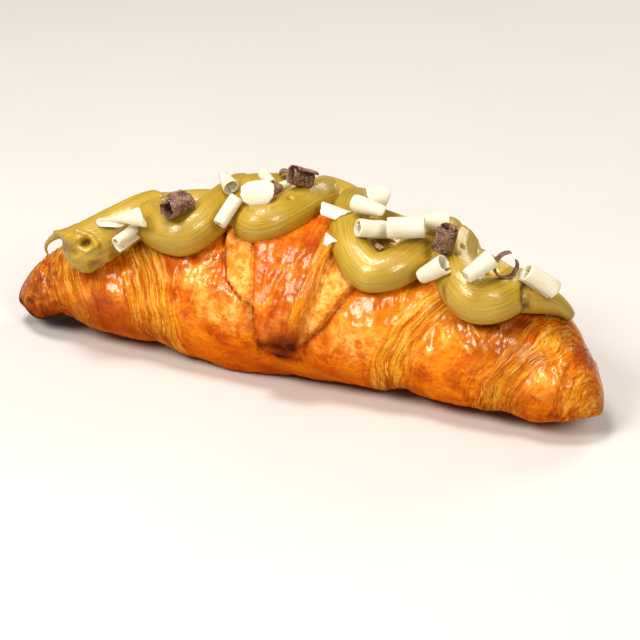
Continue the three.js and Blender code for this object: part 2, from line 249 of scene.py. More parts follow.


# Egg-washed laminated dough, baked: glossy golden-orange skin with toasted patches, blisters and
# pale crests that are partly a paler bake and partly painted highlight, matter streaks of gold and
# red-brown where the layers come out at the steps, painted shade under the cream and in the creases,
# and a saturated orange foot that is partly painted warm bounce light.
def bakedCrust():
    made, tree, place = newMaterial("egg-washed baked laminated dough")
    names = ("band", "strip", "flap", "dark", "crestPaleAndLit", "foot", "glaze", "lined", "pale", "golden")
    read = {name: stored(tree, name) for name in names}
    # mm across and along the layers, bent a little
    bends = addNode(tree, "TexNoise", {"Vector": place, "Scale": perSize(5)})["Color"]
    rolled = stored(tree, "roll", "Vector")
    roll = addNode(tree, "VectorMath", {0: bends, 1: (1.0, 1.0, 0.0), 2: rolled},
                   operation="MULTIPLY_ADD")[0]

    # a part of the source's range as a mask from 0 to top, scaled by an attribute
    def mask(source, low, high, top=1.0, weight=1.0):
        return reckoned(tree, "MULTIPLY", stretched(tree, source, low, high, top), weight)

    toasted = noisy(tree, place, 10, Detail=4.0, Roughness=0.6, Distortion=0.4)
    mottled = noisy(tree, place, 2.6, Detail=4.0, Roughness=0.62, Distortion=0.45)
    specks = noisy(tree, place, 0.75)
    waves = noisy(tree, place, 5, Distortion=0.3)
    wideStreak = drawnOut(tree, roll, 2.4, 18, Roughness=0.55)
    fineStreak = drawnOut(tree, roll, 0.8, 10, Detail=3.0, Roughness=0.6)
    # thin lines, where a drawn-out noise passes its middle value
    seams = drawnOut(tree, roll, 2.4, 28)
    besideLine = reckoned(tree, "ABSOLUTE", reckoned(tree, "SUBTRACT", seams, 0.5))
    thinLine = mask(besideLine, 0.045, 0.0, 1.0, read["lined"])
    unfooted = reckoned(tree, "SUBTRACT", 1.0, read["foot"])

    skin = layered(tree, "#cd6206", [
        (mask(toasted, 0.42, 0.62), "#e2820c"),
        (mask(toasted, 0.48, 0.3, 0.9), "#a23c04"),
        (mask(wideStreak, 0.5, 0.64, 0.8, read["lined"]), "#ef9e1c"),
        (mask(wideStreak, 0.47, 0.36, 0.7, read["lined"]), "#a84405"),
        (mask(fineStreak, 0.52, 0.68, 0.7, read["lined"]), "#f4ad3a"),
        (mask(fineStreak, 0.46, 0.34, 0.6, read["lined"]), "#a04205"),
        (mask(mottled, 0.54, 0.64, 0.5, unfooted), "#ee981a"),
        (mask(mottled, 0.44, 0.32, 0.5), "#a03f06"),
        (mask(thinLine, 0.0, 1.0, 0.6), "#8a3a08"),
    ])
    # the foot: a saturated orange low front, partly its own bake and partly painted warm bounce light
    # from below
    footSkin = layered(tree, "#cc6200", [(mask(toasted, 0.42, 0.6), "#dd7a02")])
    streaks = layered(tree, "#d67e12", [
        (mask(wideStreak, 0.46, 0.6, 0.85), "#eaa42e"),
        (mask(wideStreak, 0.45, 0.35, 0.8), "#b8560a"),
        (mask(fineStreak, 0.53, 0.64, 0.85), "#f3c465"),
        (mask(fineStreak, 0.46, 0.36, 0.5), "#9c4206"),
    ])
    crumb = layered(tree, "#d9852c", [
        (mask(mottled, 0.4, 0.6), "#f2b766"),
        (mask(specks, 0.56, 0.7, 0.6), "#b5651a"),
    ])
    flapSkin = layered(tree, "#d06a0f", [
        (mask(toasted, 0.45, 0.6, 0.6), "#b84e0b"),
        (mask(mottled, 0.52, 0.66, 0.6), "#ec9a2a"),
        (mask(mottled, 0.46, 0.32, 0.6), "#983c07"),
        (mask(fineStreak, 0.5, 0.66, 0.4), "#ee9c3c"),
        (mask(thinLine, 0.0, 1.0, 0.5), "#8a3a08"),
    ])
    paleSkin = layered(tree, "#e8902c", [
        (mask(mottled, 0.46, 0.6), "#fac774"),
        (mask(mottled, 0.44, 0.32, 0.8), "#c9660f"),
    ])
    colour = layered(tree, skin, [
        (read["foot"], footSkin),
        # golden: partly a golden bake, partly painted light on the right front
        (read["golden"], "#e29014"),
        (read["flap"], flapSkin),
        (mask(read["pale"], 0.15, 0.85, 0.85), paleSkin),
        # pale crests: partly a paler bake, partly painted highlight on the raised blisters, veins and
        # folds
        (mask(read["crestPaleAndLit"], 0.2, 0.9, 0.65), "#f7b04c"),
        (read["band"], streaks),
        (read["strip"], crumb),
        # dark: the darker bake of tips, flap and patches, with painted shade under the cream and in the
        # creases
        (mask(read["dark"], 0.0, 0.5, 0.75), "#973b07"),
        (mask(read["dark"], 0.5, 1.0, 0.95), "#471704"),
    ])
    roughness = addNode(tree, "MapRange", {0: read["glaze"], 3: 0.6, 4: 0.4})[0]

    bubbles = addNode(tree, "TexVoronoi", {"Vector": place, "Scale": perSize(1.3), "Smoothness": 0.5},
                      feature="SMOOTH_F1")["Distance"]
    skinHeight = reckoned(tree, "MULTIPLY_ADD", bubbles, -0.45, mottled)
    linedHeight = reckoned(tree, "MULTIPLY_ADD", thinLine, -0.35, skinHeight)
    streakHeight = reckoned(tree, "MULTIPLY", fineStreak, read["band"])
    streakBump = bumped(tree, streakHeight, 1.0, 0.8, bumped(tree, linedHeight, 0.8, 0.9))
    glazeHeight = reckoned(tree, "MULTIPLY_ADD", streakHeight, 0.5, waves)
    addSurface(tree, {
        "Base Color": colour, "Roughness": roughness, "IOR": 1.46, "Specular IOR Level": 0.05,
        "Coat Weight": mask(toasted, 0.25, 0.5, 0.8, read["glaze"]), "Coat Roughness": 0.19,
        "Coat Normal": bumped(tree, glazeHeight, 0.6, 0.8),
        "Normal": bumped(tree, specks, 0.6, 0.2, streakBump)})
    return made


# Pistachio cream, whipped and piped: smooth and fatty with a soft sheen, with shade painted darker
# into its pits and folds, and with faint lines that the nozzle drew along each rope.
def pipedCream():
    made, tree, place = newMaterial("piped pistachio cream")
    lines = drawnOut(tree, stored(tree, "rope", "Vector"), 13, 0.7, Detail=3.0, Roughness=0.65)
    clouds, grain = noisy(tree, place, 11), noisy(tree, place, 0.9)
    colour = layered(tree, "#a98b26", [
        (stretched(tree, clouds, 0.35, 0.65), "#b99a37"),
        (stretched(tree, lines, 0.5, 0.62, 0.55), "#96791c"),
        # painted shade in the pits and folds
        (stored(tree, "pitShade"), "#7a5e10"),
    ])
    addSurface(tree, {
        "Base Color": colour, "Roughness": 0.4, "IOR": 1.46, "Coat Weight": 0.5, "Coat Roughness": 0.12,
        "Coat Normal": bumped(tree, grain, 0.5, 0.12, bumped(tree, lines, 0.22, 0.3)),
        "Subsurface Weight": 0.2, "Subsurface Radius": (1.0, 0.7, 0.25), "Subsurface Scale": 1.5 * mm,
        "Normal": bumped(tree, grain, 0.5, 0.14, bumped(tree, lines, 0.8, 0.35))})
    return made


# White chocolate, shaved into curls: ivory, waxy and slightly see-through at its thin edges,
# with fine lines round the curl where the blade scraped.
def whiteChocolate():
    made, tree, place = newMaterial("shaved white chocolate")
    lines = drawnOut(tree, stored(tree, "scrape", "Vector"), 9, 0.55)
    clouds = noisy(tree, place, 4)
    colour = layered(tree, "#d2cab0", [(stretched(tree, clouds, 0.35, 0.65), "#dcd5c0")])
    addSurface(tree, {
        "Base Color": colour, "Roughness": 0.42, "IOR": 1.46, "Subsurface Weight": 0.6,
        "Subsurface Radius": (1.0, 0.9, 0.55), "Subsurface Scale": 2.2 * mm,
        "Normal": bumped(tree, lines, 0.3, 0.12)})
    return made


# Dark chocolate, shaved: matt brown, scraped in lines, with grey bloom and specks of fat.
def darkChocolate():
    made, tree, place = newMaterial("shaved dark chocolate")
    lines = drawnOut(tree, stored(tree, "scrape", "Vector"), 6, 0.5)
    clouds, specks = noisy(tree, place, 2.2), noisy(tree, place, 0.45, Detail=1.0)
    colour = layered(tree, "#4e3022", [
        (stretched(tree, clouds, 0.35, 0.7), "#946f58"),
        (stretched(tree, specks, 0.56, 0.68, 0.7), "#c4a790"),
    ])
    addSurface(tree, {"Base Color": colour, "Roughness": 0.55, "IOR": 1.46,
                      "Normal": bumped(tree, lines, 0.5, 0.15)})
    return made


# The table: plain, pale and matt.
def paleTable():
    made, tree, place = newMaterial("matt pale table")
    colour = layered(tree, "#d3cfcb", [(noisy(tree, place, 60), "#cecac5")])
    addSurface(tree, {"Base Color": colour, "Roughness": 0.75})
    return made


# The crust

# Pairs are for the left and for the right
crust = {
    "ends": (-89.5, 90.5), "middleX": -4,
    "halfWidth": 30.2, "tipHalfWidth": (21.5, 23),
    "height": 43.5, "tipHeight": (30, 33),
    "swell": 1.9, "tipBlunt": 6,
    "bow": (14, 17), "bowPower": 2.6,
    "axisShare": 0.42, "footShare": 1.12, "tipDroop": 0.45,
    "sheet": 2.2, "footSheets": 1.3, "crown": 1,
    "turns": 4,  # of the rolled sheet that end on each side of the flap
    "layers": 9,  # layers of dough that come out at one step
    "layerStep": 0.34,  # how far each of them stands out
    "stations": 520, "spokes": 188, "sparser": 0.075,
}

# Where the edge of the rolled sheet lies, left and right of the flap, after so many turns
edge = {
    "flapX": -1.5,
    "turns": [0.25, 0.3, 0.312, 0.325, 0.34, 0.38, 0.41, 0.5, 1.0, 1.25,
              1.33, 1.4, 1.5, 2.0, 2.25, 2.4, 2.55, 3.0, 3.3, 3.5, 4.0],
    "left": [3, 5.5, 10.5, 13.4, 15.9, 18.4, 20.3, 24.5, 29.5, 31.5,
             35.5, 42, 45.5, 54, 59.5, 66, 69, 74, 77.5, 81, 86],
    "right": [7.5, 13.3, 14.5, 15.7, 17, 20, 21.5, 25, 25.5, 29.5,
              34, 41, 47.5, 55, 60.5, 69, 76, 80, 84, 87, 92],
    "slope": (12.5, 9.5), "sharpSlope": 1.4,
    "beyond": -20,
}

# The rolled end on top: how far it reaches left and right of its middle at each share of a turn
flap = {
    "sheet": 2.4,
    "shares": [0.22, 0.27, 0.3, 0.35, 0.4, 0.5, 0.8],
    "left": [4.8, 4.9, 6.3, 8.2, 10.4, 11.5, 15.5],
    "right": [6.6, 8.2, 8.8, 10.4, 11.6, 12.3, 15.5],
    "tipShare": 0.222, "tipBulge": 0.016, "backShare": 0.85, "backRun": 0.1,
    "slope": (1.0, 1.6), "frontRun": 0.01,
    "layersWide": 4.5,  # its right margin shows the layers of the dough, so wide
}

# Low bulges with one hollow, where the skin is baked paler and more wrinkled, where it is darker
# (partly a darker bake, partly painted shade under the cream and between the curls) and where it is
# more golden (partly a golden bake, partly painted light on the right front): x, share, width in mm
# and as a share, and height in mm or strength
swells = [
    (-82.5, 0.1, 6.5, 0.1, 4.4), (-72.5, 0.1, 5, 0.1, -2.2), (-82, 0.42, 6, 0.1, 1.1),
    (-18, 0.1, 13, 0.1, 2.5), (73, 0.12, 15, 0.1, 2), (78, 0.5, 8, 0.1, 1.6),
]
paleZones = [
    (-15, 0.285, 8, 0.035, 0.85), (22, 0.28, 10, 0.045, 0.7), (-62, 0.26, 7, 0.04, 0.5),
    (40, 0.36, 6, 0.05, 0.4), (75, 0.33, 6, 0.05, 0.5), (-28, 0.325, 7, 0.03, 0.5),
]
# darker zones: partly a darker bake, partly painted shade where the cream loops and the curls shade the
# crust
darkBakedAndShadedZones = [
    (-29, 0.373, 9, 0.018, 0.55), (-60, 0.345, 9, 0.03, 0.35), (34, 0.41, 14, 0.02, 0.3),
    (57, 0.385, 8, 0.018, 0.7), (66, 0.42, 8, 0.025, 0.75), (75, 0.49, 8, 0.045, 0.7),
    (89, 0.5, 4, 0.1, 0.5), (-52, 0.26, 12, 0.04, 0.18), (80, 0.55, 7, 0.07, 0.6),
    (-84, 0.28, 7, 0.12, 0.35), (-72, 0.17, 12, 0.05, 0.3), (-58, 0.22, 26, 0.06, 0.25),
    (14, 0.4, 4, 0.02, 0.4), (8, 0.27, 3, 0.03, 0.25), (-36, 0.2, 10, 0.05, 0.2),
    (28, 0.44, 8, 0.03, 0.8), (4, 0.41, 6, 0.03, 0.5), (58, 0.35, 10, 0.035, 0.3),
    (88, 0.36, 5, 0.13, 0.6), (83, 0.19, 8, 0.05, 0.45), (70, 0.36, 6, 0.03, 0.3),
]
# a golden patch on the right front: partly a golden bake, partly painted light from the front right
goldenAndLitZones = [(44, 0.36, 30, 0.09, 0.6)]

# Noise over the skin: cell in mm, seed, and its size, in mm or as a part of what it changes
grains = {
    "waver": (6, 11, 0.5), "fineWaver": (2.4, 12, 0.25), "tipWaver": (2.2, 13, 0.006),
    "lumps": (13, 3, 0.55), "smallLumps": (6.5, 4, 0.4), "crumb": (1.1, 6, 0.12),
    "blisters": (3.6, 1, 1), "smallBlisters": (1.8, 2, 1), "folds": (2, 61, 0.4),
    "veins": (5.5, 54, 5), "veinGaps": (12, 55, 2), "tipWrinkles": (3.4, 56, 0.9),
    "pale": (3, 62, 0.5), "golden": (6, 9, 0.7), "flapTip": (2.6, 58, 0.5),
    "patches": (16, 7, 0.28), "smallPatches": (5, 8, 0.2), "leftTip": (2.4, 57, 1),
}

# Heights in mm of what lies on the skin; how dark the tips and the flap are baked, and how much shade
# is painted into the creases
raised = {"blister": 0.4, "smallBlister": 0.1, "vein": 0.45, "crinkle": 0.45, "crease": -0.75}
darkened = {"leftTip": 0.2, "rightTip": 0.12, "flapTip": 0.78, "crease": 0.25}

# Folds of the glazed skin, as lines of (x, share)
folds = {
    "height": 0.8, "width": 0.55,
    "around": 150,  # roughly the millimetres round the body
    "lines": [
        [(-33.7, 0.358), (-31.9, 0.37), (-29.9, 0.359), (-27.4, 0.357), (-25.2, 0.358),
         (-23.4, 0.363), (-21.8, 0.374)],
        [(-27.4, 0.354), (-28.6, 0.343), (-28.9, 0.33), (-28.7, 0.319)],
        [(-25, 0.357), (-27, 0.338), (-27, 0.318), (-27.9, 0.292)],
        [(-27.6, 0.363), (-25.6, 0.379), (-22.8, 0.389), (-21.5, 0.402)],
        [(-33.9, 0.36), (-34.5, 0.34), (-34, 0.31)],
        [(-24.4, 0.335), (-24.2, 0.322)],
        [(48, 0.358), (49.2, 0.338), (51.4, 0.327), (54, 0.315), (56.1, 0.307)],
        [(49.2, 0.338), (47.1, 0.322), (45.5, 0.318)],
        [(52.8, 0.378), (55.1, 0.357), (56.9, 0.341), (58.7, 0.325)],
        [(60.6, 0.404), (61.8, 0.384), (60.6, 0.363), (59.3, 0.346)],
        [(78, 0.362), (79.2, 0.337), (80.5, 0.318), (81.7, 0.288)],
        [(82.5, 0.358), (84.3, 0.325)],
        [(76, 0.329), (77.4, 0.314)],
        [(33.9, 0.393), (33.7, 0.374), (33.5, 0.349)],
        [(-4.9, 0.355), (-3.3, 0.366), (0, 0.372), (2, 0.361)],
        [(-2, 0.335), (-1.6, 0.35), (-0.6, 0.361)],
        [(-0.2, 0.34), (-0.4, 0.329)],
        [(3.2, 0.401), (2.4, 0.392), (1.8, 0.38)],
    ],
}


# A hump in x times a hump in share for each zone, all added up
def zoned(x, share, zones):
    return sum(top * hump((x - at) / wide, 1) * hump((share - level) / high, 1)
               for at, level, wide, high, top in zones)


# The body's half width, heights above and below its axis, and the axis at x: all shrink as
# 1 - share^swell from the middle to the tips, and as sqrt(1 - share^blunt) at the round ends
def crossSection(x):
    left = x < crust["middleX"]
    reach = np.abs(np.where(left, *crust["ends"]) - crust["middleX"])
    share = np.minimum(np.abs(x - crust["middleX"]) / reach, 1)
    swell = 1 - share ** crust["swell"]
    roundness = np.sqrt(1 - share ** crust["tipBlunt"])
    tipWidth = np.where(left, *crust["tipHalfWidth"])
    tipHeight = np.where(left, *crust["tipHeight"])
    height = tipHeight + (crust["height"] - tipHeight) * swell
    bow = np.where(left, *crust["bow"])
    return {
        "halfWidth": (tipWidth + (crust["halfWidth"] - tipWidth) * swell) * roundness,
        "above": height * (1 - crust["axisShare"]) * roundness,
        "below": height * crust["axisShare"] * crust["footShare"] * roundness,
        "axisY": -bow * share ** crust["bowPower"],
        "axisZ": height * crust["axisShare"] * (1 - crust["tipDroop"] * (1 - roundness)),
        "round": roundness,
    }


# The skin at x and a share of a turn: an ellipse's point at 270 degrees less the share, moved
# out by the relief, and cut flat at the base
def crustPoints(x, share, relief):
    section = crossSection(x)
    angle = np.radians(270 - 360 * share)
    out = np.cos(angle) * section["halfWidth"]
    up = np.sin(angle) * np.where(np.sin(angle) > 0, section["above"], section["below"])
    grow = 1 + relief * section["round"] / (np.hypot(out, up) + 1e-9)
    z = np.maximum(section["axisZ"] + up * grow, 0)
    return np.stack([x + 0 * share, section["axisY"] + out * grow, z], axis=-1)


# Height of the skin over the bare body, how each place of it is baked, and where light and shade are
# painted into it. Going out from the flap one sheet is lost at each edge of the roll: sharply at the
# first, in a stair of thin layers at the others. Blisters and wrinkles lie on what is smooth.
def crustRelief(x, share):
    bare = crustPoints(x, share, 0)
    left = x < edge["flapX"]
    around = share * folds["around"]

    def noise(name, points=bare):
        cell, seed, size = grains[name]
        return size * softNoise(points, cell, seed)

    # a table's left or right list, read between its entries
    def sided(table, at, places):
        return np.where(left, *(np.interp(at, places, table[name]) for name in ("left", "right")))

    def edgeAt(turns):
        return np.where(turns < edge["turns"][0], edge["beyond"], sided(edge, turns, edge["turns"]))

    # noise that changes from layer to layer and slowly along each of them
    def layerNoise(layer, turn, seed):
        return stretchedNoise(layer, around, x * 0 + turn, (1, 9, 1), seed + turn)

    waver = noise("waver") + noise("fineWaver")
    distance = np.abs(x - edge["flapX"]) + waver
    slope = np.where(left, *edge["slope"])
    sheets = crust["footSheets"] - share
    band, besideBand, stairs, creases = np.zeros((4, *distance.shape))
    across = distance
    for turn in range(crust["turns"]):
        start = edgeAt(turn + share)
        following = edgeAt(turn + 1 + share)
        width = edge["sharpSlope"] if turn == 0 else slope
        part = (distance - start) / width
        sheets -= smooth(part)
        along = np.clip((distance - start - width) / (following - start - width), 0, 1)
        begun = smooth((turn + share - edge["turns"][0]) / 0.08)
        sheets += crust["crown"] / crust["sheet"] * np.sin(np.pi * along) * (start >= 0) * begun
        if turn == 0:
            creases += hump(distance - start - edge["sharpSlope"] - 0.3, 0.55) * (start > 0)
            firstStep = smooth(part) * (start > 0)
            continue
        level = part * crust["layers"] + 0.5 * layerNoise(part * 3, turn, 20)
        rise = level - np.floor(level)
        inBand = smooth(part / 0.3 + 0.6) * (1 - smooth((part - 0.8) / 0.5))
        strength = 0.65 + 0.9 * layerNoise(np.floor(level), turn, 30)
        stair = 0.5 - smooth(rise / 0.55) + 0.35 * hump(rise - 0.9, 0.2)
        stairs += crust["layerStep"] * inBand * strength * stair
        band = np.maximum(band, inBand)
        beside = smooth(part / 0.6 + 1) * (1 - smooth((part - 0.8) / 0.9))
        besideBand = np.maximum(besideBand, beside)
        across = np.where(part > -0.3, level * slope / crust["layers"] + 40 * turn, across)

    # the flap, with the layers that show in its right margin
    side = distance - sided(flap, share, flap["shares"])
    tipShare = flap["tipShare"] - flap["tipBulge"] * hump((x - 2.5) / 4, 1) + noise("tipWaver")
    front = smooth((share - tipShare) / flap["frontRun"] + 0.5)
    onFlap = front * (1 - smooth((share - flap["backShare"]) / flap["backRun"]))
    flapCover = (1 - smooth(side / np.where(left, *flap["slope"]) + 0.5)) * onFlap
    margin = side / flap["layersWide"]
    rightBand = smooth((margin + 0.95) / 0.25) * (1 - smooth((margin - 0.25) / 0.2)) * onFlap * ~left
    rightBand *= smooth((share - 0.24) / 0.05)
    flapLevel = margin * 4 + 0.35 * stretchedNoise(margin, around, x, (1, 7, 60), 15)
    flapRise = flapLevel - np.floor(flapLevel)
    stairs += 0.3 * rightBand * (0.5 - smooth(flapRise / 0.55))
    across = np.where(rightBand > 0.15, flapLevel * 1.1, across)
    creases += hump(side - flap["slope"][0] * 0.5 - 0.3, 0.6) * onFlap * left
    creases += 0.7 * hump(side - 1.2, 0.7) * onFlap * ~left
    creases += hump((share - tipShare) * folds["around"] + 1.6, 1.2) * (side < 0.5)

    # what lies on the skin
    swollen = zoned(x, share, swells)
    strip = (1 - firstStep) * (1 - flapCover) * (share > 0.2) * (share < 0.85) * (edgeAt(share) > 0)
    band = np.maximum(band * (1 - flapCover), rightBand)
    skin = (1 - 0.75 * band) * (1 - 0.7 * strip)
    blisters = raised["blister"] * smooth((noise("blisters") - 0.12) / 0.26)
    blisters += raised["smallBlister"] * smooth((noise("smallBlisters") - 0.16) / 0.24)
    blisters *= (0.25 + 0.75 * smooth((share - 0.19) / 0.1)) * (1 - 0.45 * flapCover)
    bent = bare + 2.2 * np.stack([softNoise(bare, 5, seed) for seed in (51, 52, 53)], axis=-1)
    veins = smooth(1 - np.abs(noise("veins", bent))) * smooth(noise("veinGaps") + 0.5)
    veins *= smooth((share - 0.22) / 0.05)
    nearTip = smooth((-66 - x) / 10)
    wrinkles = nearTip * np.abs(noise("tipWrinkles", bent))
    drawn = stretchedNoise(x + 0.35 * around, around, x * 0, (2.6, 11, 1), 5)
    wrinkles += (0.25 + 0.3 * besideBand) * np.abs(drawn)
    pale = np.clip(zoned(x, share, paleZones) * (1 + noise("pale")), 0, 1) * (1 - flapCover)
    crumpled = stretchedNoise(x, around + 0.3 * x, x * 0, (3.6, 1.5, 1), 63)
    crinkles = pale * (raised["crinkle"] * np.abs(crumpled) - 0.1)
    spots = np.stack([x, around], axis=-1)
    folded = sum(nearLine(spots, np.array(line) * (1, folds["around"]), folds["width"])
                 for line in folds["lines"])
    folded = np.clip(folded, 0, 1) * (0.8 + noise("folds"))
    relief = (sheets * crust["sheet"] + flap["sheet"] * flapCover + swollen + stairs
              + folds["height"] * folded
              + skin * (blisters + raised["vein"] * veins - wrinkles + crinkles)
              + noise("lumps") + noise("smallLumps") + noise("crumb") * (1 + 1.5 * strip)
              + raised["crease"] * creases)

    # how it is baked, with painted shade under the cream and in the creases, painted highlight on the
    # crests and painted bounce light on the foot
    # crests are painted lighter: partly a paler bake, partly painted highlight where the raised skin
    # catches light
    crestPaleAndLit = np.clip(skin * (0.8 * blisters + 0.7 * veins) + 0.8 * folded, 0, 1)
    rim = (0.3 + 0.5 * nearTip) * smooth((7 - bare[..., 2]) / 5) + 0.35 * smooth((-84.5 - x) / 4)
    leftTip = smooth((-58 - x) / 24) * (darkened["leftTip"] + 0.35 * smooth((0.29 - share) / 0.1) + rim)
    leftTip += nearTip * 0.6 * (np.abs(noise("leftTip", bent)) - 0.25)
    rightTip = smooth((x - 72) / 20) * darkened["rightTip"]
    flapTip = flapCover * smooth((0.31 - share) / 0.075) * (darkened["flapTip"] + noise("flapTip"))
    patches = np.clip(noise("patches") + noise("smallPatches"), -0.1, 1) * (1 - strip)
    # the crease term is painted shade in the creases at the edges of the sheet
    dark = leftTip + rightTip + flapTip + patches + darkened["crease"] * creases
    # painted shade under the cream, added to the darker bake
    dark += zoned(x, share, darkBakedAndShadedZones) * (1 - 0.6 * band)
    lined = 0.25 * smooth((np.abs(x - 6) - 30) / 22) + 0.65 * besideBand + 0.35 * flapCover
    # lowFront marks the foot, where painted warm bounce light saturates the orange
    lowFront = (1 - smooth((share - 0.15) / 0.09)) * (1 - smooth((np.abs(x + 5) - 38) / 30))
    golden = zoned(x, share, goldenAndLitZones) * (0.8 + noise("golden"))
    glaze = smooth((share - 0.17) / 0.08) * (1 - strip) * (1 - 0.4 * band) * (1 - 0.35 * flapCover)
    return relief, {
        "band": band, "strip": strip, "flap": flapCover * (1 - rightBand), "crestPaleAndLit": crestPaleAndLit,
        "dark": np.clip(dark, 0, 1), "foot": 0.9 * lowFront * (1 - band), "golden": golden,
        "lined": np.clip(lined, 0.12, 1) * (1 - strip) * (1 - 0.8 * pale), "pale": pale, "glaze": glaze,
        "roll": np.stack([across, around, 0 * around], axis=-1),
    }


# Stations crowd towards the round ends as (7s - s^7) / 6, and the spokes are sparse underneath
def crustPiece(material):
    s = np.linspace(-1, 1, crust["stations"] + 1)[1:-1]
    reach = np.abs(np.where(s < 0, *crust["ends"]) - crust["middleX"])
    x = (crust["middleX"] + reach * (7 * s - s ** 7) / 6)[:, None]
    turn = np.arange(crust["spokes"]) / crust["spokes"]
    share = (1 - turn - crust["sparser"] * np.sin(2 * np.pi * (1 - turn)))[None, :]
    x, share = np.broadcast_arrays(x, share)
    relief, baking = crustRelief(x, share)
    rings = crustPoints(x, share, relief)
    # the egg wash was brushed on what faces up
    facing = np.cross(np.gradient(rings, axis=1), np.gradient(rings, axis=0))
    upward = facing[..., 2] / (np.linalg.norm(facing, axis=-1) + 1e-9)
    baking["glaze"] *= (0.15 + 0.85 * smooth((upward - 0.02) / 0.3))
    first = rings[0].mean(axis=0) - [0.05, 0, 0]
    last = rings[-1].mean(axis=0) + [0.05, 0, 0]
    piece = ringSkin("crust_skin", first, rings, last)
    for name, values in baking.items():
        flat = values.reshape(-1, 3) if name == "roll" else values.ravel()
        addAttribute(piece, name, np.concatenate([flat, flat[[0, -1]]]))
    finishPiece(piece, "crust", material)


# A point over the ridge: degrees of lean towards the front, raised by lift
def ridgePoints(x, lean, lift):
    section = crossSection(x)
    slant = np.radians(lean)
    y = section["axisY"] - (section["halfWidth"] + lift) * np.sin(slant)
    z = section["axisZ"] + (section["above"] + lift) * np.cos(slant)
    return np.stack([x, y, z], axis=-1)


# The cream

cream = {
    "sink": 0.8,  # a rope's middle lies this share of its radius over the ridge
    "roundness": 1.25, "legThinning": 0.16,
    "step": 0.5,  # between the rings of a rope
    "sides": 64, "capReach": 0.7,
    "voxel": 0.5, "smoothing": 4,
    # what the nozzle drew: height, cells along, round and from rope to rope, seed
    "drawn": [(0.26, (60, 4.2, 0.37), 41), (0.12, (24, 1.9, 0.37), 42)],
}

# Loops hang down the front between two points on the ridge, left and right of x
loops = [
    {"x": -34.5, "lean": 36.8, "reach": (13, 9.5), "topLean": (20, -4), "radius": 6.3},
    {"x": -12.9, "lean": 25.3, "reach": (8.6, 11.5), "topLean": (-4, -16), "radius": 6.3},
    {"x": 24.2, "lean": 40.3, "reach": (15.2, 13.5), "topLean": (-12, -6), "radius": 5.8},
    {"x": 54.4, "lean": 36.5, "reach": (11, 8.8), "topLean": (4, 14), "radius": 6.8},
]

# Strokes along the ridge: the blob at the left, two low ones under the loops, one that fills the
# third loop, three that join loops, and the pointed end
strokes = [
    {"x": (-63.4, -46), "lean": (45.8, 17), "radius": (7.2, 5.4), "droop": 3},
    {"x": (-46, -8), "lean": (12, 11), "radius": (4, 3.8), "droop": -3},
    {"x": (13, 62), "lean": (-3, 14), "radius": (3.4, 4.6), "droop": 0},
    {"x": (19, 38), "lean": (17, 16), "radius": (3.6, 4), "droop": 1},
    {"x": (-25, -5), "lean": (-4, -15), "radius": (4.8, 4.8), "droop": -4},
    {"x": (-3, 10), "lean": (-16, -12), "radius": (5.4, 4), "droop": -1},
    {"x": (35, 46), "lean": (-8, 7), "radius": (4.6, 4.5), "droop": 0},
    {"x": (62.5, 77), "lean": (21, -10), "radius": (5.3, 1.8), "droop": 3},
]

# Ridges and pits in the cream where the nozzle left it: height, width and line in mm
marks = [
    (1.5, 0.9, [(-71.5, -27, 37.2), (-65.4, -30.7, 37.9), (-61.1, -31.6, 38.4)]),
    (1.5, 0.8, [(-62.2, -30.2, 39.8), (-58, -30.3, 39.3), (-56.4, -30.8, 37.4)]),
    (1.1, 0.7, [(-56.4, -30.8, 37.4), (-58.8, -32, 35.3), (-61, -32, 36)]),
    (-2.6, 1.1, [(-59.9, -31.5, 37.6), (-59.2, -31.5, 37.9)]),
    (-1.2, 2.6, [(-68, -31, 35.5), (-63, -32, 34.5)]),
    (0.8, 1.1, [(-56, -30.4, 35.6), (-50.8, -23.6, 34.3)]),
    (-0.7, 1.2, [(-55.5, -29, 33.5), (-51, -24, 32.5)]),
    (-0.9, 0.55, [(47.2, -14.6, 49.5), (47.4, -14.8, 49.5)]),
    (-0.7, 0.45, [(46.5, -19.1, 48.6), (46.6, -19.2, 48.6)]),
    (-1.5, 0.75, [(45.9, -25.9, 41), (46.5, -26.9, 38.5)]),
    (-0.7, 0.5, [(-5.3, -11.2, 52.8), (-5.1, -11.3, 52.8)]),
    (-1.1, 1.2, [(66.7, -15, 45), (66.9, -20.5, 42.4), (67.1, -22, 40), (67.5, -20, 36)]),
]

# The thread that was pulled off the blob
thread = {"x": (-65, -76.5), "lean": 37, "height": (10, 2.5), "hook": 2.5, "radius": (2.1, 0.55)}


# A loop's centre line: x swings as sin(pi|s|/2)^roundness, the lean rises as 1 - cos(pi s/2)
def loopLine(loop):
    s = np.linspace(-1, 1, 240)
    swing = np.sin(np.pi / 2 * np.abs(s)) ** cream["roundness"]
    rise = 1 - np.cos(np.pi / 2 * s)
    reach = np.where(s < 0, -loop["reach"][0], loop["reach"][1])
    top = np.where(s < 0, *loop["topLean"])
    lean = mixed((loop["lean"], top), rise)
    radius = loop["radius"] * (1 - cream["legThinning"] * rise)
    return ridgePoints(loop["x"] + reach * swing, lean, cream["sink"] * radius), radius


# A stroke's centre line: straight in x and lean, with a droop of sin(pi t)
def strokeLine(stroke):
    t = np.linspace(0, 1, 200)
    lean = mixed(stroke["lean"], t) + stroke["droop"] * np.sin(np.pi * t)
    radius = mixed(stroke["radius"], t * t)
    return ridgePoints(mixed(stroke["x"], t), lean, cream["sink"] * radius), radius


# The pulled thread arches out as sin(pi t/2) and falls late, as t^hook
def threadLine():
    t = np.linspace(0, 1, 120)
    x = mixed(thread["x"], np.sin(np.pi / 2 * t))
    height = mixed(thread["height"], t ** thread["hook"])
    return ridgePoints(x, thread["lean"], height), mixed(thread["radius"], np.sqrt(t))


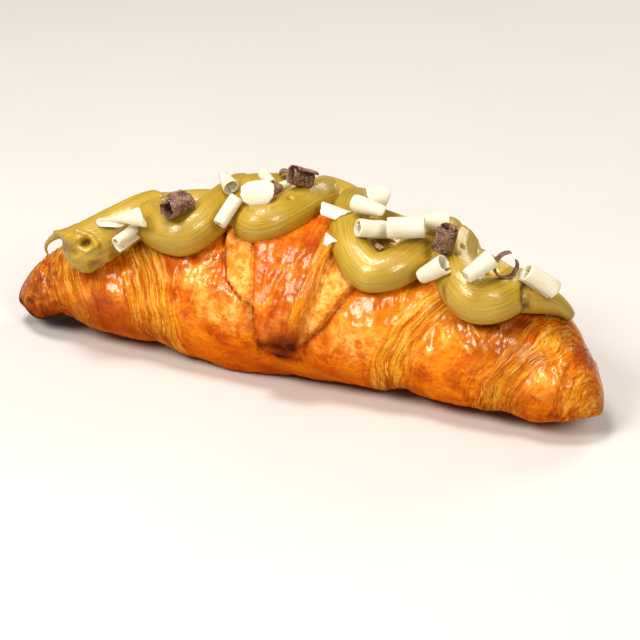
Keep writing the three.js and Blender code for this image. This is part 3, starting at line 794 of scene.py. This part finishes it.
# The line at even steps, with its length so far, direction, upright and side at each point
def evenLine(points, radius):
    gaps = np.linalg.norm(np.diff(points, axis=0), axis=1)
    length = np.concatenate([[0], np.cumsum(gaps)])
    at = np.linspace(0, length[-1], max(4, int(length[-1] / cream["step"])))
    even = np.stack([np.interp(at, length, points[:, k]) for k in range(3)], axis=1)
    direction = np.gradient(even, axis=0)
    direction /= np.linalg.norm(direction, axis=1, keepdims=True)
    middle = crossSection(even[:, 0])
    outward = even - np.stack([even[:, 0], middle["axisY"], middle["axisZ"]], axis=1)
    outward -= direction * np.sum(outward * direction, axis=1, keepdims=True)
    outward /= np.linalg.norm(outward, axis=1, keepdims=True)
    return {"centre": even, "radius": np.interp(at, length, radius), "along": at,
            "direction": direction, "upright": outward, "side": np.cross(direction, outward)}


# Rings round the line at even angles, closed by low domes: their rings shrink as cos and move
# out as sin of an angle from 0 to 90 degrees
def ropeSkin(name, line):
    angle = np.linspace(0, 2 * np.pi, cream["sides"], endpoint=False)
    spokes = (np.cos(angle)[None, :, None] * line["upright"][:, None]
              + np.sin(angle)[None, :, None] * line["side"][:, None])
    rings = line["centre"][:, None] + spokes * line["radius"][:, None, None]
    cap = np.radians(np.linspace(75, 15, 5))[:, None, None]
    caps, tips = [], []
    for end, way in ((0, -1), (-1, 1)):
        centre, radius = line["centre"][end], line["radius"][end]
        out = way * line["direction"][end] * radius * cream["capReach"]
        caps.append(centre + spokes[end][None] * radius * np.cos(cap) + out * np.sin(cap))
        tips.append(centre + out)
    rings = np.concatenate([caps[0], rings, caps[1][::-1]])
    return ringSkin(name, tips[0], rings, tips[1])


# Points in millimetres and normals of a mesh
def meshArrays(piece):
    points = np.empty(len(piece.data.vertices) * 3)
    normals = np.empty(len(points), np.float32)
    piece.data.vertices.foreach_get("co", points)
    piece.data.vertex_normals.foreach_get("vector", normals)
    return points.reshape(-1, 3) / mm, normals.reshape(-1, 3).astype(float)


# Puts what the modifiers give in the place of the mesh
def applyModifiers(piece):
    mesh = bpy.data.meshes.new_from_object(piece.evaluated_get(bpy.context.evaluated_depsgraph_get()))
    old = piece.data
    piece.modifiers.clear()
    piece.data = mesh
    mesh.name = old.name
    bpy.data.meshes.remove(old)


def joinObjects(parts, name):
    bpy.ops.object.select_all(action="DESELECT")
    for part in parts:
        part.select_set(True)
    bpy.context.view_layer.objects.active = parts[0]
    bpy.ops.object.join()
    parts[0].name = name
    return parts[0]


# For each point: the nearest rope, how far along it lies and how far round
def nearestOnRopes(points, lines):
    names = ("centre", "radius", "upright", "side", "along")
    centre, radius, upright, side, along = (
        np.concatenate([line[name] for line in lines]) for name in names)
    rope = np.repeat(np.arange(len(lines)), [len(line["along"]) for line in lines])
    nearest = np.empty(len(points), int)
    atOnce = 4000
    for start in range(0, len(points), atOnce):
        some = points[start:start + atOnce]
        gap = np.linalg.norm(some[:, None] - centre[None], axis=2) - radius
        nearest[start:start + atOnce] = gap.argmin(axis=1)
    out = points - centre[nearest]
    angle = np.arctan2(np.sum(out * side[nearest], axis=1), np.sum(out * upright[nearest], axis=1))
    return along[nearest], angle * radius[nearest], rope[nearest]


# The ropes joined into one skin by a voxel grid, then moved along its normals: soft lines drawn
# along each rope, sags, the marks, and folds of noise on the crumpled front of the blob
def creamPiece(material):
    found = [*map(loopLine, loops), *map(strokeLine, strokes), threadLine()]
    lines = [evenLine(points, radius) for points, radius in found]
    piece = joinObjects([ropeSkin("rope", line) for line in lines], "cream_piped")
    remesh = piece.modifiers.new("voxels", "REMESH")
    remesh.mode = "VOXEL"
    remesh.voxel_size = cream["voxel"] * mm
    soften = piece.modifiers.new("soften", "SMOOTH")
    soften.factor = 0.5
    soften.iterations = cream["smoothing"]
    applyModifiers(piece)
    points, normals = meshArrays(piece)
    along, around, rope = nearestOnRopes(points, lines)
    ridges = sum(height * stretchedNoise(along, around, rope, cells, seed)
                 for height, cells, seed in cream["drawn"])
    sags = 0.35 * softNoise(points, 9, 43)
    jagged = 1 + 0.35 * softNoise(points, 1.6, 44)
    marked = sum(height * nearLine(points, line, width) for height, width, line in marks) * jagged
    x, z = points[:, 0], points[:, 2]
    front = smooth((-49 - x) / 5) * smooth((38 - z) / 3) * smooth((67 + x) / 5)
    creased = 1.3 * (0.35 - np.abs(softNoise(points * (0.7, 1, 1), 4.4, 47)))
    creased += 0.5 * (0.35 - np.abs(softNoise(points, 2.3, 46)))
    # painted shade: the pits of the marks and the folds of the crumpled front are coloured darker
    pitShade = np.clip(-0.9 * marked - 1.3 * front * creased, 0, 1)  # darker in pits and folds
    points += normals * (ridges + sags + marked + front * creased)[:, None]
    piece.data.vertices.foreach_set("co", (points * mm).ravel())
    piece.data.update()
    piece.data.shade_smooth()
    addAttribute(piece, "pitShade", pitShade)
    addAttribute(piece, "rope", np.stack([along, around, rope * 7.0], axis=1))
    finishPiece(piece, "cream", material)


# The chocolate

chocolate = {
    "usual": dict(roll=265, cone=0, point=0, petal=0, ragged=0.1, loose=0, wall=0.6, gap=0.45),
    "thinEdge": 0.6,  # the sheet's thickness at its edges, as a share
    "thinRun": 0.8,  # how far in from its edges it thins
    "looseRun": 0.16,  # how much of the sheet lifts off where its edge is loose, as a share
    "step": 0.28,
    "press": 0.6,  # how deep a curl is pressed into the cream
}

# Curls: at (x, lean) on the crust, axis turned and tilted (aim), length and radius (size), winds
# of the sheet, and its roll about the axis. cone opens an end, point narrows the sheet along the
# wind or widens it below 0, petal rounds it to a leaf, ragged is how uneven its ends are broken,
# and loose lifts its outer edge off the curl.
curls = {
    "white_trough": dict(at=(-53.6, 38.7), aim=(5, 7), size=(9, 1.6), winds=0.45, roll=210, petal=0.45),
    "white_cone": dict(at=(-47.1, 38.2), aim=(14, 0), size=(9.5, 2.3), winds=0.8, roll=30,
        cone=1.1, petal=0.45),
    "white_roll_left": dict(at=(-48.7, 43.4), aim=(66, -27), size=(8, 2.2), winds=1.2, roll=235,
        loose=1.0),
    "white_roll_upright": dict(at=(-25.1, 12.7), aim=(134, 4), size=(7, 2.2), winds=1.05, roll=260,
        cone=-0.5, wall=0.5, gap=0.25),
    "white_roll_steep": dict(at=(-20.6, 28.7), aim=(72, 17), size=(9, 2.7), winds=1.1),
    "white_roll_back": dict(at=(-17.4, -2.3), aim=(137, 14), size=(6, 2.1), winds=1.05, roll=260,
        wall=0.5, gap=0.3),
    "dark_scroll_top": dict(at=(-4.2, 5.4), aim=(-138, 26), size=(6.6, 3), winds=1.15, roll=45,
        loose=1.6, wall=0.5, gap=0.1),
    "white_shell_wide": dict(at=(-13.4, 18.9), aim=(21, 2), size=(9.4, 5), winds=0.32, roll=58,
        petal=0.6, ragged=0.25),
    "dark_shell": dict(at=(-13.4, -7.9), aim=(-69, 1), size=(4.2, 2), winds=0.6, roll=330,
        petal=0.3, ragged=0.2),
    "white_strip": dict(at=(-10.2, 3.1), aim=(60, 0), size=(3, 2), winds=0.4, roll=20,
        petal=0.3, ragged=0.2),
    "dark_chip_back": dict(at=(-11.1, 10.5), aim=(93, -2), size=(3.6, 1.8), winds=0.3, roll=60,
        ragged=0.3),
    "white_shard": dict(at=(8.1, 16.5), aim=(-12, -1), size=(9.8, 4.2), winds=0.2, roll=60,
        point=0.5, ragged=0.3),
    "white_flake": dict(at=(10, 31.9), aim=(-27, 0), size=(4.6, 3), winds=0.2, roll=60,
        point=0.8, ragged=0.2),
    "white_cup": dict(at=(18.1, 4.7), aim=(30, -3), size=(7, 4), winds=0.75, roll=300,
        petal=0.6, ragged=0.12),
    "white_shell_cone": dict(at=(18.3, 14.4), aim=(-5, -3), size=(10, 2.6), winds=0.6, roll=10,
        cone=-0.5, petal=0.4, ragged=0.15),
    "white_roll_middle": dict(at=(21.2, 23.5), aim=(31, -24), size=(8.6, 3.2), winds=1.3),
    "white_roll_thick": dict(at=(31.7, 22.9), aim=(-165, 1), size=(10.4, 3.4), winds=1.3),
    "dark_scroll_double": dict(at=(43.8, 22.3), aim=(57, 66), size=(7, 3.3), winds=1.7, roll=60,
        ragged=0.12, wall=0.45, gap=0.55),
    "white_shell_right": dict(at=(37.9, 11.1), aim=(20, -5), size=(7.6, 3), winds=0.7, roll=20,
        cone=0.4, petal=0.5, ragged=0.15),
    "white_roll_open": dict(at=(42.2, 35.5), aim=(-156, -32), size=(8.6, 2.8), winds=1.05,
        cone=-0.3, wall=0.5, gap=0.25),
    "dark_ring": dict(at=(61.4, 20.4), aim=(-46, 20), size=(1.9, 4.2), winds=0.85, roll=60,
        wall=0.55, ragged=0.15),
    "white_roll_slanted": dict(at=(55.4, 30.4), aim=(52, 7), size=(8.6, 3.1), winds=1.3, cone=0.25),
    "white_roll_right": dict(at=(70.4, 15), aim=(12, -38), size=(10, 3.3), winds=1.2),
    "dark_scroll_left": dict(at=(-35.3, 29.2), aim=(62, -24), size=(7.2, 3.1), winds=1.15, roll=25,
        point=-0.4, ragged=0.3, loose=1.2, wall=0.45, gap=0.2),
    "dark_chip_front": dict(at=(24.4, 28.5), aim=(-29, -1), size=(2.6, 1.5), winds=0.3, roll=60,
        ragged=0.3),
}


# The upright of the crust at a curl, and the three directions of the curl itself
def curlFrame(curl):
    lean = math.radians(curl["at"][1])
    turn, tilt = (math.radians(a) for a in curl["aim"])
    upright = np.array([0, -math.sin(lean), math.cos(lean)])
    x = np.array([1.0, 0, 0])
    along = x * math.cos(turn) + np.cross(upright, x) * math.sin(turn)
    axis = along * math.cos(tilt) + upright * math.sin(tilt)
    side = np.cross(upright, axis)
    side /= np.linalg.norm(side)
    return upright, np.stack([axis, side, np.cross(axis, side)])


# A sheet wound about its axis: the angle grows evenly along the sheet while the radius loses
# one wall and one gap each wind. Its ends are broken unevenly.
def curlPiece(node, given, seed, material):
    curl = {**chocolate["usual"], **given}
    length, radius = curl["size"]
    winds, wall = curl["winds"], curl["wall"]
    arc = 2 * math.pi * radius * winds
    rows, columns = (max(14, int(reach / chocolate["step"])) for reach in (arc, length))
    share, end = np.meshgrid(np.linspace(0, 1, rows), np.linspace(-0.5, 0.5, columns), indexing="ij")
    angle = np.radians(curl["roll"]) + 2 * np.pi * winds * share
    width = length * (1 - curl["point"] * share) * (1 - curl["petal"] * np.abs(2 * share - 1) ** 2.5)

    # each end of the curl has a noise of its own
    def brokenBy(cell, order):
        return stretchedNoise(share * arc, np.sign(end) * 5, end * 0, (cell, 1, 1), seed + order)

    broken = curl["ragged"] * (brokenBy(1.1, 0) + 0.5 * brokenBy(0.5, 1))
    along = end * width + 2 * end * broken * np.abs(2 * end) ** 3
    uneven = 0.15 * stretchedNoise(share * arc, along, 0 * along, (4, 3, 1), seed + 2)
    lifted = curl["loose"] * smooth((chocolate["looseRun"] - share) / chocolate["looseRun"]) ** 2
    lost = (wall + curl["gap"]) * winds * share
    r = radius * (1 + curl["cone"] * along / length) - lost - wall / 2 + uneven + lifted
    rim = np.minimum(np.minimum(share, 1 - share) * arc, (0.5 - np.abs(end)) * length)
    full = smooth(rim / chocolate["thinRun"])
    thickness = wall * mixed((chocolate["thinEdge"], 1), full)
    outward = np.stack([0 * angle, np.cos(angle), np.sin(angle)], axis=-1)
    grid = along[..., None] * [1, 0, 0] + r[..., None] * outward
    upright, axes = curlFrame(curl)
    grid = grid @ axes
    low, high = (np.array(corner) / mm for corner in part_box(node))
    corners = grid.reshape(-1, 3)
    grid += (low + high) / 2 - (corners.min(axis=0) + corners.max(axis=0)) / 2
    grid -= upright * chocolate["press"]
    piece = sheetSkin(node + "_shaved", grid, outward @ axes, thickness)
    scrape = np.stack([share * arc, along, 0 * along + seed], axis=-1).reshape(-1, 3)
    addAttribute(piece, "scrape", np.concatenate([scrape, scrape]))
    finishPiece(piece, node, material)


# Table, light and camera

studio = {
    "eye": (0.21016, -0.58689, 0.32547),
    "right": (0.9374, 0.3473, 0.0240),
    "up": (-0.1769, 0.4159, 0.8921),
    "back": (0.2998, -0.8405, 0.4513),
    "lens": 133.8,
    "table": 6.0,
    "worldStrength": 0.16,
    "lights": {
        "over": {"at": (-0.15, -0.12, 0.75), "size": 0.25, "power": 3.3, "tint": "#fffaf5"},
        "frontLeft": {"at": (-0.30, -0.58, 0.62), "size": 0.33, "power": 4.8, "tint": "#fffcf8"},
        "frontRight": {"at": (0.55, -0.55, 0.60), "size": 0.3, "power": 3.4, "tint": "#fffcf8"},
        "back": {"at": (0.20, 0.70, 0.55), "size": 0.4, "power": 2.2, "tint": "#fffcf8"},
    },
}


def makeTable(material):
    corners = np.array([(-1, -1, 0), (1, -1, 0), (1, 1, 0), (-1, 1, 0)]) * studio["table"] / 2 / mm
    table = makeObject("table", corners, [(0, 1, 2, 3)])
    table.data.materials.append(material)


def makeLights():
    for name, light in studio["lights"].items():
        lamp = bpy.data.lights.new(name, "AREA")
        lamp.shape = "DISK"
        lamp.size = light["size"]
        lamp.energy = light["power"]
        lamp.color = linear(light["tint"])[:3]
        holder = bpy.data.objects.new(name, lamp)
        holder.location = light["at"]
        x, y, z = light["at"]
        holder.rotation_euler = (math.atan2(math.hypot(x, y), z), 0, math.atan2(x, -y))
        scene.collection.objects.link(holder)
    world = bpy.data.worlds.new("soft studio")
    world.use_nodes = True
    background = world.node_tree.nodes["Background"]
    background.inputs["Color"].default_value = linear("#fffaf4")
    background.inputs["Strength"].default_value = studio["worldStrength"]
    scene.world = world


def makeCamera():
    lens = bpy.data.cameras.new("camera")
    lens.lens = studio["lens"]
    lens.sensor_width = 36
    camera = bpy.data.objects.new("camera", lens)
    axes = [studio[name] for name in ("right", "up", "back")]
    camera.matrix_world = Matrix(axes).transposed().to_4x4()
    camera.location = studio["eye"]
    scene.collection.objects.link(camera)
    scene.camera = camera


makeCamera()
makeLights()
makeTable(paleTable())
scene.view_settings.view_transform = "Standard"
scene.view_settings.look = "Medium High Contrast"
print("camera, light and table are set")

crustPiece(bakedCrust())
print("crust is rolled and baked")

creamPiece(pipedCream())
print("cream is piped")

shaved = {"white": whiteChocolate(), "dark": darkChocolate()}
for order, (node, curl) in enumerate(curls.items()):
    curlPiece(node, curl, 100 + 3 * order, shaved[node.split("_")[0]])
print(len(curls), "curls are laid on the cream")
